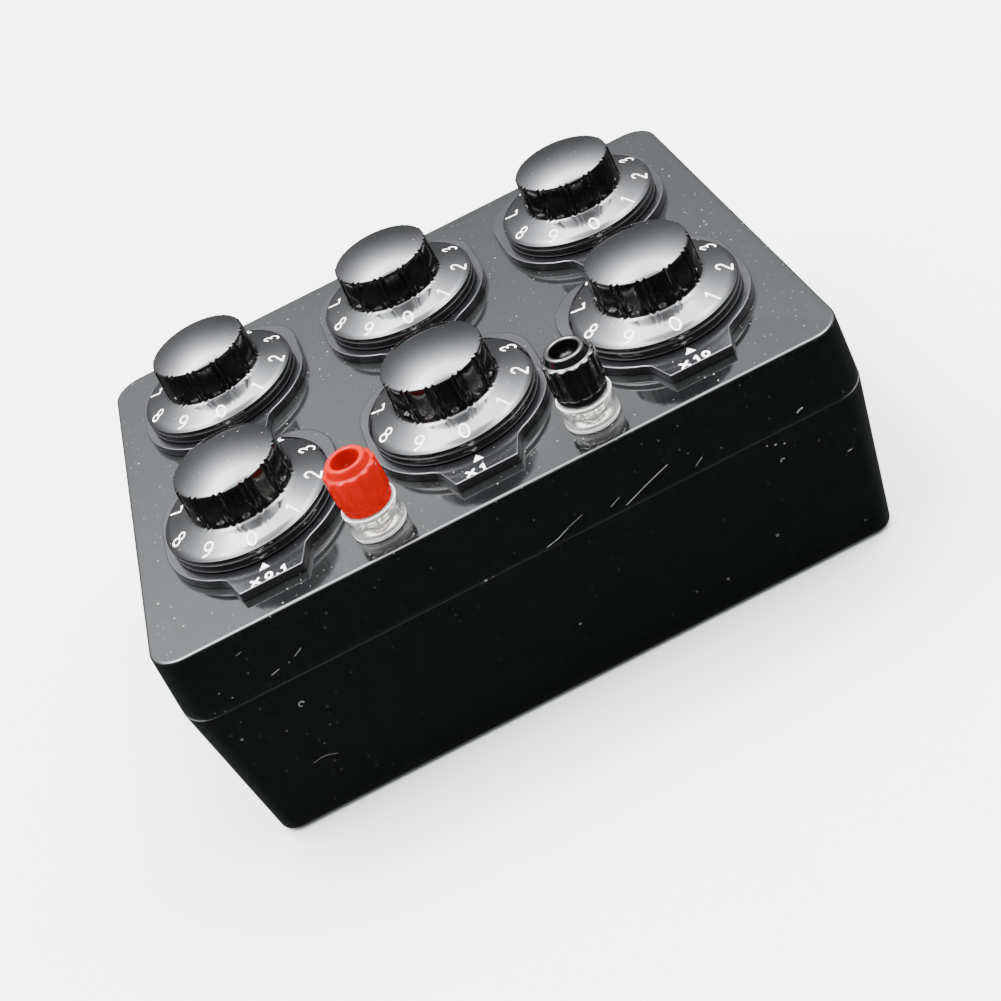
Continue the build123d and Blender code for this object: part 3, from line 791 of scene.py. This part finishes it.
# %% [markdown]
# Each tab carries a pointer and what its dial multiplies by. Only five glyphs are needed, and
# they are bold strokes on the plate, closer and smaller where a long label has to fit. The
# faint ring across the tab is one more stroke, in the plate's own black.

# %% Labels on the plates
LABELS = {
    "ten_thousands": "x10000", "thousands": "x1000", "hundreds": "x100",
    "tenths": "x0.1", "units": "x1", "tens": "x10",
}
GLYPHS = {
    "x": (2.8, [[(0.35, 0.35), (2.45, 2.45)], [(0.35, 2.45), (2.45, 0.35)]]),
    "0": (2.4, [arc(1.2, 1.5, 0.85, 1.15)]),
    "1": (1.5, [[(1.0, 0.3), (1.0, 2.7)], [(1.0, 2.65), (0.3, 2.05)]]),
    ".": (0.8, [[(0.4, 0.35), (0.42, 0.38)]]),
}
GLYPH_GAP = 0.75
SIGN_GAP = 1.4
LABEL_WIDEST = 15.5
LABEL_LEFT = -5.6
LABEL_RIGHT = 7.9
LABEL_FOOT = -33.05
POINTER_MIDDLE = -0.9
POINTER_FOOT = -28.0
POINTER_TIP = -25.3
POINTER_HALF = 1.5
LABEL_STROKE = 0.72
STEP_RADIUS = PLATE_RADIUS - 0.4
STEP_WIDTH = 0.4
STEP_TURN = 25  # degrees to each side of the tab's middle


def on_plate(x, y, rise):
    return Vector((x, y, LID_TOP + PLATE_THICK + 0.015 + rise))


def label_mesh(name, label):
    work = bmesh.new()
    steps = [GLYPHS[sign][0] + (SIGN_GAP if sign == "x" else GLYPH_GAP) for sign in label]
    width = sum(steps) - GLYPH_GAP
    size = min(1.0, LABEL_WIDEST / width)
    left = min(LABEL_LEFT, LABEL_RIGHT - width * size)
    for sign, step in zip(label, steps):
        for stroke in GLYPHS[sign][1]:
            add_ribbon(
                work, stroke, LABEL_STROKE,
                lambda point, rise: on_plate(left + point[0] * size, LABEL_FOOT + point[1] * size, rise),
            )
        left += step * size
    corners = ((-POINTER_HALF, POINTER_FOOT), (POINTER_HALF, POINTER_FOOT), (0, POINTER_TIP))
    work.faces.new([work.verts.new(on_plate(POINTER_MIDDLE + x, y, 0.02) * MM) for x, y in corners])
    return finish_mesh(work, name)


work = bmesh.new()
add_ribbon(
    work, arc(0, 0, STEP_RADIUS, STEP_RADIUS, -90 - STEP_TURN, -90 + STEP_TURN), STEP_WIDTH,
    lambda point, rise: on_plate(point[0], point[1], rise), crown=0.012,
)
step_mesh = finish_mesh(work, "plate_step")
for decade, label in LABELS.items():
    x, y = DIAL_PLACES[decade]
    mesh = label_mesh("label_" + decade, label)
    place_piece("label_" + decade, mesh, PRINT_WHITE, "case", at=(x, y, 0))
    place_piece("plate_step_" + decade, step_mesh, PLATE_BLACK, "case", at=(x, y, 0))
print("labels:", list(LABELS.values()))

# %% [markdown]
# A knob is turned and fluted at once. From the outside in, it has a skirt with a thin line
# round its rim, a sloping face for the numbers, and a twelve-sided grip. Each corner of the grip
# carries a pair of narrow grooves with a fine ridge between them, and the low dome on top
# keeps that outline at its edge. Cutting twenty-four grooves with a Boolean would leave no
# edge radius, so the radius is written as a function of the angle, with more points near the
# grooves, and every ring of the loft asks that function.

# %% Outline of a knob
SKIRT_RADIUS = 24.9
KNOB_BOTTOM = 77.7
SKIRT_RIM = 82.0
GRIP_FOOT = 85.4
GRIP_TOP = 95.95
GRIP_FLAT_FOOT = 15.5
GRIP_FLAT_TOP = 15.1
DOME_RISE = 3.1
DOME_RADIUS = (GRIP_FLAT_TOP ** 2 + DOME_RISE ** 2) / (2 * DOME_RISE)
FLUTES = 12
GROOVE_DEPTH = 0.55
GROOVE_OFF = 0.95  # from a corner to the middle of a groove
GROOVE_HALF = 0.75
CORNER_LOSS = 0.25
CORNER_SPREAD = 1.9
FACE_RUN = SKIRT_RADIUS - GRIP_FLAT_FOOT + 0.9  # the slope ends a little inside the grip


def flute_angles():
    """Angles round the grip, close together at the grooves."""
    pitch = 360 / FLUTES
    near = [0.45 * step for step in range(-15, 16)]
    between = [8.5, 11.5, 15.0, 18.5, 21.5]
    return [math.radians(pitch * (k + 0.5) + a) for k in range(FLUTES) for a in near + between]


ANGLES = flute_angles()


def grip_radius(angle, flat, depth):
    """Distance to the grip's surface: a twelve-sided prism with two grooves at each corner."""
    pitch = math.tau / FLUTES
    off_flat = (angle + pitch / 2) % pitch - pitch / 2
    corner_off = pitch / 2 - abs(off_flat)
    along = corner_off * flat
    lobe = flat / math.cos(off_flat) - CORNER_LOSS * math.exp(-((along / CORNER_SPREAD) ** 2))
    groove = math.cos(math.pi / 2 * min(1.0, abs(along - GROOVE_OFF) / GROOVE_HALF)) ** 2
    return lobe - depth * groove


def face_height(radius):
    """Height of the skirt's sloping face at a distance from the axis."""
    return SKIRT_RIM + (SKIRT_RADIUS - radius) * (GRIP_FOOT - SKIRT_RIM) / FACE_RUN


def dome_height(radius):
    return GRIP_TOP + DOME_RISE - DOME_RADIUS + math.sqrt(DOME_RADIUS ** 2 - radius ** 2)


def plain(radius, height):
    return [polar(radius, angle, height) for angle in ANGLES]


def fluted(flat, height, shrink=0.0, scale=1.0, depth=GROOVE_DEPTH):
    """Ring on the grip; the height is a number or a function of the radius."""
    ring = []
    for angle in ANGLES:
        radius = (grip_radius(angle, flat, depth) - shrink) * scale
        level = height(radius) if callable(height) else height
        ring.append(polar(radius, angle, level))
    return ring


print("points in one ring of a knob:", len(ANGLES))

# %% [markdown]
# The rings of a knob start in the shaft's bore, go out under the skirt, up over its rim and the
# sloping face, and up the grip. At the grip's foot the grooves fade in over three rings, and at
# the dome's edge they fade out again, because a mould can't leave a sharp notch.

# %% Knobs
SKIRT_SIDE = SKIRT_RADIUS - 0.1
SKIRT_PROFILE = [  # radius and height
    (3.05, KNOB_BOTTOM + 12.5), (3.05, KNOB_BOTTOM + 3.5), (7.9, KNOB_BOTTOM + 3.5), (7.9, KNOB_BOTTOM),
    (SKIRT_RADIUS - 0.6, KNOB_BOTTOM), (SKIRT_RADIUS - 0.25, KNOB_BOTTOM + 0.1),
    (SKIRT_SIDE, KNOB_BOTTOM + 0.35), (SKIRT_SIDE, 79.8), (SKIRT_RADIUS - 0.22, 79.92),
    (SKIRT_RADIUS - 0.22, 80.08), (SKIRT_SIDE, 80.2), (SKIRT_RADIUS - 0.12, 81.45),
]
# Inset, lift or drop, and depth of the grooves where the grip runs out at its foot and its top.
FOOT_FADE = [(-0.3, 0, 0.1), (-0.08, 0.1, 0.25), (0, 0.35, 0.45), (0, 0.7, GROOVE_DEPTH)]
EDGE_FADE = [(0, 0.45, GROOVE_DEPTH), (0.08, 0.16, 0.5), (0.25, 0.03, 0.42), (0.5, 0, 0.3)]
knob_rings = [plain(radius, height) for radius, height in SKIRT_PROFILE]
rim_edge = 0.5
for step in range(1, 6):
    angle = math.radians(72) * step / 5
    radius = SKIRT_RADIUS - 0.12 - rim_edge * (1 - math.cos(angle))
    knob_rings.append(plain(radius, 81.45 + rim_edge * math.sin(angle)))
for radius in (24.2, 22.5, 20.5, 18.5, 17.0):
    knob_rings.append(plain(radius, face_height(radius)))
for inset, lift, groove in FOOT_FADE:
    knob_rings.append(fluted(GRIP_FLAT_FOOT, lambda r: face_height(r) + lift, shrink=inset, depth=groove))
for share in (0.2, 0.35, 0.6, 0.85):
    flat = GRIP_FLAT_FOOT + (GRIP_FLAT_TOP - GRIP_FLAT_FOOT) * share
    knob_rings.append(fluted(flat, GRIP_FOOT + (GRIP_TOP - GRIP_FOOT) * share))
for inset, drop, groove in EDGE_FADE:
    knob_rings.append(fluted(GRIP_FLAT_TOP, lambda r: dome_height(r) - drop, shrink=inset, depth=groove))
for scale in (0.93, 0.85, 0.75, 0.64, 0.52, 0.4, 0.28, 0.16, 0.06):
    knob_rings.append(fluted(GRIP_FLAT_TOP, dome_height, scale=scale, depth=0.1))
knob_mesh = loft("knob", knob_rings, cap_first=True, cap_last=True)
for decade, (x, y) in DIAL_PLACES.items():
    place_piece(
        "knob_" + decade + "_shell", knob_mesh, KNOB_BLACK, "dial_" + decade,
        ["knob_" + decade], at=(x, y, 0), sharp=55,
    )
print("knob faces:", len(knob_mesh.polygons))

# %% [markdown]
# Ten numbers stand round the sloping face of each skirt, with their tops towards the grip. They
# turn with the dial, so they ride on its body. Each flat stroke is laid on the cone by asking
# the face for its height at that distance from the axis.

# %% Numbers on the dials
DIGIT_RADIUS = 21.3
DIGIT_HEIGHT = 0.93  # of the drawn strokes
FIRST_DIGIT = -92.0
STROKE = 0.62
DIGITS = [
    [arc(0, 0, 1.3, 2.25)],
    [[(0.3, -2.25), (0.3, 2.25)], [(0.3, 2.25), (-0.6, 1.4)]],
    [arc(0, 1.1, 1.2, 1.15, 170, -35), [(0.98, 0.44), (-1.25, -2.25)], [(-1.25, -2.25), (1.3, -2.25)]],
    [arc(-0.1, 1.15, 1.15, 1.1, 150, -90), arc(-0.1, -1.1, 1.35, 1.15, 90, -150)],
    [[(0.6, -2.25), (0.6, 2.25)], [(0.6, 2.25), (-1.4, -0.9)], [(-1.4, -0.9), (1.4, -0.9)]],
    [[(1.1, 2.25), (-0.9, 2.25)], [(-0.9, 2.25), (-0.95, 0.3)], arc(0, -0.85, 1.3, 1.4, 130, -145)],
    [arc(0, -0.95, 1.3, 1.3), arc(1.2, -0.8, 2.5, 3.1, 180, 100)],
    [[(-1.2, 2.25), (1.25, 2.25)], [(1.25, 2.25), (-0.3, -2.25)], [(-1.2, 2.25), (-1.2, 1.7)]],
    [arc(0, 1.15, 1.05, 1.1), arc(0, -1.1, 1.3, 1.15)],
    [arc(0, 0.95, 1.3, 1.3), arc(-1.2, 0.8, 2.5, 3.1, 0, -80)],
]


def numbers_mesh():
    work = bmesh.new()
    for digit, strokes in enumerate(DIGITS):
        turn = math.radians(FIRST_DIGIT + 360 / len(DIGITS) * digit)
        outward = Vector((math.cos(turn), math.sin(turn)))
        across = Vector((-outward.y, outward.x))

        def on_face(point, rise):
            spot = outward * (DIGIT_RADIUS - point[1] * DIGIT_HEIGHT) + across * point[0]
            return Vector((*spot, face_height(spot.length) + 0.015 + rise))

        for stroke in strokes:
            add_ribbon(work, stroke, STROKE, on_face)
    return finish_mesh(work, "dial_numbers")


numbers = numbers_mesh()
for decade, (x, y) in DIAL_PLACES.items():
    place_piece("numbers_" + decade, numbers, PRINT_WHITE, "dial_" + decade, at=(x, y, 0))
print("faces in one set of numbers:", len(numbers.polygons))

# %% [markdown]
# The binding posts are what the leads plug into. A fluted cap screws down over a stud, and the
# stud's bored end is the socket. The cap's shoulder slopes up to a smooth raised ring round a
# wide mouth. Its flutes are broad, so a cosine draws them better than separate cutters would,
# and they run out at the shoulder and at the plain band below.

# %% Caps of the binding posts
CAP_BOTTOM = 82.6
CAP_FLUTES = 12
CAP_STEPS = 12
CAP_PROFILE = [  # radius, height and depth of the flutes
    (3.95, 97.0), (3.8, 96.0), (3.3, 91.2), (3.2, 90.7), (4.45, 90.65), (4.45, CAP_BOTTOM),
    (6.7, CAP_BOTTOM), (7.0, CAP_BOTTOM + 0.12), (7.1, CAP_BOTTOM + 0.4), (7.1, 84.3), (7.0, 84.6),
    (7.1, 84.8, 0.2), (7.4, 85.05, 0.45), (7.5, 85.4, 0.5), (7.5, 89, 0.55), (7.5, 93.6, 0.6),
    (7.5, 94.4, 0.62), (7.45, 94.72, 0.6), (7.3, 94.93, 0.55), (7.0, 95.06, 0.4), (6.6, 95.16, 0.15),
    (6.3, 95.24), (6.12, 95.36), (6.05, 95.6), (5.65, 96.9), (5.55, 97.25), (5.3, 97.5),
    (4.95, 97.6), (4.5, 97.58), (4.2, 97.45), (4.02, 97.25),
]


def cap_ring(radius, height, depth=0.0):
    ring = []
    count = CAP_FLUTES * CAP_STEPS
    for i in range(count):
        angle = math.tau * i / count
        reach = radius - depth * (0.5 - 0.5 * math.cos(angle * CAP_FLUTES)) ** 1.6
        ring.append(polar(reach, angle, height))
    return ring


for colour, finish in (("red", CAP_RED), ("black", CAP_BLACK)):
    cap_mesh = loft("post_cap_" + colour, [cap_ring(*row) for row in CAP_PROFILE], closed=True)
    place_piece(
        "post_cap_" + colour + "_shell", cap_mesh, finish, "cap_" + colour,
        ["post_cap_" + colour], at=(*POST_PLACES[colour], 0), sharp=50,
    )
    print(colour, "cap faces:", len(cap_mesh.polygons))

# %% [markdown]
# A clear hollow collar insulates each post from the lid. It is modelled with its hollow, because
# light bends at both skins, and that is what makes it sparkle. Its rims were left frosted by the
# mould, so their faces get a finish of their own, which is chosen by their height.

# %% Collars of the binding posts
COLLAR_TOP = 82.4
HOLLOW = 6.2
CLEAR_FROM = 75.6
CLEAR_TO = 82.0
COLLAR_PROFILE = [  # radius and height
    (3.2, LID_TOP + 0.02), (7.4, LID_TOP + 0.02), (7.65, LID_TOP + 0.15), (7.72, LID_TOP + 0.5),
    (7.72, 75.8), (7.62, 76.0), (7.6, 80.6), (7.72, 80.8), (7.78, 81.1), (7.78, 81.85), (7.78, 82.1),
    (7.65, 82.32), (7.4, COLLAR_TOP), (3.2, COLLAR_TOP), (3.2, 81.0), (HOLLOW - 0.4, 81.0),
    (HOLLOW, 80.6), (HOLLOW, 75.4), (3.2, 75.4),
]
collar_mesh = loft("post_collar", [round_ring(*row) for row in COLLAR_PROFILE], closed=True)
collar_mesh.materials.append(COLLAR_CLEAR)
collar_mesh.materials.append(COLLAR_FROSTED)
for face in collar_mesh.polygons:
    face.use_smooth = True
    height = face.center.z / MM
    clear = CLEAR_FROM < height < CLEAR_TO or height > COLLAR_TOP - 0.02
    face.material_index = 0 if clear else 1
collar_mesh.set_sharp_from_angle(angle=math.radians(40))
for colour, place in POST_PLACES.items():
    place_piece(
        "post_collar_" + colour, collar_mesh, COLLAR_CLEAR, "case",
        ["post_collars"], at=(*place, 0),
    )
print("collar faces:", len(collar_mesh.polygons))

# %% [markdown]
# Inside each collar a nut and toothed washers clamp the stud. They are small, but the clear
# plastic enlarges them into flecks of light. Hexagons and teeth are rings too, with their points
# at the same angles as the turned parts between them, so that one loft makes the whole stack.
# The stud itself is a turned rod with the bore of the socket in its upper end.

# %% Nuts and studs of the binding posts
TEETH_EVERY = 4  # points, of which half are cut back
TOOTH_DEPTH = 0.5


def hexagon_ring(corner, height, count=48):
    ring = []
    for i in range(count):
        angle = math.tau * (i + 0.5) / count
        off_flat = (angle + math.pi / 6) % (math.pi / 3) - math.pi / 6
        reach = corner * math.cos(math.pi / 6) / math.cos(off_flat)
        ring.append(polar(reach, angle, height))
    return ring


def toothed_ring(radius, height, count=48):
    ring = []
    for i in range(count):
        reach = radius - (TOOTH_DEPTH if i % TEETH_EVERY > 1 else 0)
        ring.append(polar(reach, math.tau * (i + 0.5) / count, height))
    return ring


def washer_ring(radius, height):
    return turned_ring(radius, height, 48)


NUT_PROFILE = [  # what draws the ring, its radius and its height
    (washer_ring, 3.05, 75.45), (washer_ring, 6.0, 75.45), (washer_ring, 6.0, 75.8),
    (washer_ring, 4.6, 76.7), (hexagon_ring, 5.15, 76.8), (hexagon_ring, 5.15, 78.2),
    (washer_ring, 4.4, 78.5), (washer_ring, 3.9, 78.5), (washer_ring, 3.9, 78.8),
    (toothed_ring, 5.5, 78.8), (toothed_ring, 5.5, 79.3), (washer_ring, 4.0, 79.4),
    (toothed_ring, 5.3, 79.6), (toothed_ring, 5.3, 80.2), (washer_ring, 3.05, 80.3),
]
STUD_PROFILE = [  # radius and height
    (2.0, 62.4), (2.7, 62.4), (3.0, 62.7), (3.0, 91.2), (2.95, 91.4), (2.85, 91.5), (2.75, 91.4),
    (2.05, 89.6), (2.05, 77.6), (1.0, 77.3),
]
nut_mesh = loft("post_nut", [draw(radius, height) for draw, radius, height in NUT_PROFILE], closed=True)
stud_rings = [round_ring(radius, height, 64) for radius, height in STUD_PROFILE]
stud_mesh = loft("post_stud", stud_rings, cap_first=True, cap_last=True)
for colour, place in POST_PLACES.items():
    at = (*place, 0)
    place_piece("post_nut_" + colour, nut_mesh, POST_NICKEL, "case", at=at, sharp=25)
for colour, place in POST_PLACES.items():
    at = (*place, 0)
    place_piece("post_stud_" + colour, stud_mesh, POST_NICKEL, "case", ["post_studs"], at=at)
print("nut faces:", len(nut_mesh.polygons), "stud faces:", len(stud_mesh.polygons))

# %% [markdown]
# Gloss is only as good as what it mirrors. Reading the photograph backwards, from the tones on
# the domes and skirts, the studio is one smooth sky that grows brighter ever faster from the
# horizon up, levels off and has a dimmer patch overhead. Area lights could come close, but their
# edges would show in the domes, so the sky is written as a formula of direction. The floor is
# plain and pale. It is kept out of mirror images, because the real case stood on something dark.

# %% Floor
floor_mesh = bpy.data.meshes.new("floor")
floor_mesh.from_pydata([(-6, -6, 0), (6, -6, 0), (6, 6, 0), (-6, 6, 0)], [], [(0, 1, 2, 3)])
floor = bpy.data.objects.new("floor", floor_mesh)
floor.visible_glossy = False
bpy.context.scene.collection.objects.link(floor)
floor_finish, floor_tree, floor_shader = new_finish("floor pale")
paper = add(floor_tree, "ShaderNodeTexNoise", Scale=300, Detail=3)
paper_colour = blend_colours(floor_tree, paper.outputs[0], (0.54, 0.54, 0.54, 1), (0.56, 0.56, 0.56, 1))
feed(floor_tree, floor_shader.inputs["Base Color"], paper_colour)
floor_shader.inputs["Roughness"].default_value = 0.95
floor_shader.inputs["Specular IOR Level"].default_value = 0.1
floor_mesh.materials.append(floor_finish)

# %% [markdown]
# The sky's strength is a glow at the horizon times the exponent of the rise, and then five
# factors: dimmer on the camera's side, brighter on the left and far right, dimmer below the
# horizon, and the patch overhead. Each is one line to change: which way it looks, where it
# starts and ends, and its factor at either end.

# %% Light
HORIZON_GLOW = 0.32
GROWTH = 2.3
GROWTH_OF_GROWTH = 2.2
BRIGHTEST = 46.0
sky = bpy.data.worlds.new("studio sky")
bpy.context.scene.world = sky
sky.use_nodes = True
sky_tree = sky.node_tree
direction = add(
    sky_tree, "ShaderNodeSeparateXYZ", Vector=add(sky_tree, "ShaderNodeTexCoord").outputs["Generated"],
)
rise = maths(sky_tree, "ARCSINE", direction.outputs["Z"])
pace = maths(sky_tree, "ADD", maths(sky_tree, "MULTIPLY", rise, GROWTH_OF_GROWTH), GROWTH)
glow = maths(sky_tree, "EXPONENT", maths(sky_tree, "MULTIPLY", rise, pace))
glow = maths(sky_tree, "MINIMUM", maths(sky_tree, "MULTIPLY", glow, HORIZON_GLOW), BRIGHTEST)
camera_side = remap(sky_tree, direction.outputs["Y"], -0.35, 0.1, 0.3, 1.0)
left = remap(sky_tree, direction.outputs["X"], -0.22, 0.05, 1.25, 0.8)
right = remap(sky_tree, direction.outputs["X"], 0.25, 0.5, 1.0, 1.6)
below = remap(sky_tree, direction.outputs["Z"], -0.45, -0.05, 0.4, 1.0)
overhead = remap(sky_tree, direction.outputs["Z"], 0.945, 0.972, 1.0, 0.3)
for factor in (camera_side, left, right, below, overhead):
    glow = maths(sky_tree, "MULTIPLY", glow, factor)
background = sky_tree.nodes["Background"]
background.inputs["Color"].default_value = (0.95, 0.97, 1.0, 1)
feed(sky_tree, background.inputs["Strength"], glow)
for height in (0, 30, 60):
    angle = math.radians(height)
    strength = HORIZON_GLOW * math.exp(angle * (GROWTH + angle * GROWTH_OF_GROWTH))
    print("sky at", height, "degrees:", round(strength, 1))
